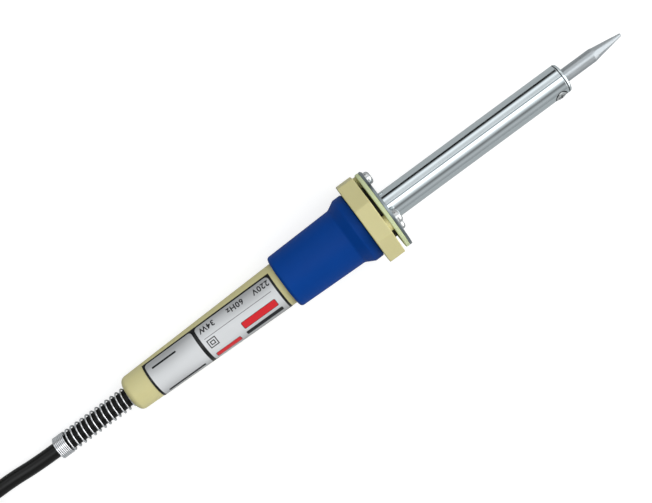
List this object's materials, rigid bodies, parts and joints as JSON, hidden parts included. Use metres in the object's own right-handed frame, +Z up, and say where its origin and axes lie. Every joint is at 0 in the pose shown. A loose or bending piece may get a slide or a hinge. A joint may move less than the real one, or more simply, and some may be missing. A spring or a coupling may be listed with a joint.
{
  "type": "soldering iron",
  "caption": "Mains pencil soldering iron with faceted conical bit, steel barrel, octagonal guard, tapered handle with soft grip, sprung cord outlet, folded cord and two-pin plug.",
  "frame": {"origin": "on the bench, under the middle of the iron's own box (tip point to spring tail), without the free cord", "axes": "+Z up from the bench, +X towards the tip, +Y to the left when looking along +X; the iron's own axis is nose-up by 4.93 degrees"},
  "size_m": [0.4924, 0.0425, 0.0315],
  "materials": {
    "plated_bit": "satin plated, slightly heat greyed",
    "barrel_steel": "drawn stainless, polished lengthwise",
    "bush_steel": "turned, polished",
    "screw_steel": "bright zinc plated",
    "shield_steel": "punched, satin",
    "washer_ivory": "pressed insulating board, matt",
    "spacer_black": "black fibre",
    "handle_cream": "moulded, semi-gloss",
    "grip_blue": "soft, matt",
    "label_silver": "printed foil, satin",
    "spring_wire": "bright drawn wire",
    "sleeve_black": "smooth tube",
    "cord_black": "extruded jacket, semi-matt",
    "ferrule_steel": "crimped",
    "former_steel": "heat dulled",
    "heater_alloy": "oxidised resistance wire",
    "mica": "wrapped mica",
    "ceramic_white": "fired, unglazed",
    "lead_nickel": "nickel wire",
    "glass_sleeving": "braided glass",
    "crimp_copper": "tinned copper",
    "cap_clear": "heat shrunk",
    "core_brown": "extruded",
    "core_blue": "extruded",
    "tie_black": "woven strap",
    "plug_black": "moulded, fine texture",
    "pin_nickel": "nickel plated brass"
  },
  "bodies": {
    "iron": {"barrel_tube": "barrel_steel", "tip_bush": "bush_steel", "heat_shield_plate": "shield_steel", "insulating_washer": "washer_ivory", "hub_spacer": "spacer_black", "shield_screws": "screw_steel", "shield_screw_washers": "screw_steel", "handle_body": "handle_cream", "grip_sleeve": "grip_blue", "rating_label": "label_silver", "strain_relief_spring": "spring_wire", "cord_sleeve": "sleeve_black", "cord_inner_end": "cord_black", "cord_ferrule": "ferrule_steel", "element_former": "former_steel", "element_winding": "heater_alloy", "mica_sleeve": "mica", "rear_insulator": "ceramic_white", "lead_wires": "lead_nickel", "lead_sleeving": "glass_sleeving", "crimp_connectors": "crimp_copper", "splice_caps": "cap_clear", "core_brown": "core_brown", "core_blue": "core_blue", "mains_cord": "cord_black", "cord_hank": "cord_black", "hank_tie": "tie_black", "cord_tail": "cord_black", "plug_strain_relief": "plug_black", "plug_body": "plug_black", "plug_pins": "pin_nickel"},
    "bit": {"soldering_tip": "plated_bit"},
    "bit_screw": {"tip_screw": "screw_steel"}
  },
  "joints": [
    {"name": "bit_slide", "type": "slide", "parent": "iron", "child": "bit", "axis": [0.9963, 0, 0.086], "range_m": [-0.002, 0.06]},
    {"name": "bit_screw_turn", "type": "hinge", "parent": "iron", "child": "bit_screw", "pos_m": [0.09129, -0.00445, 0.02457], "axis": [-0.039, -0.891, 0.4523], "range_deg": [0, 720]}
  ]
}
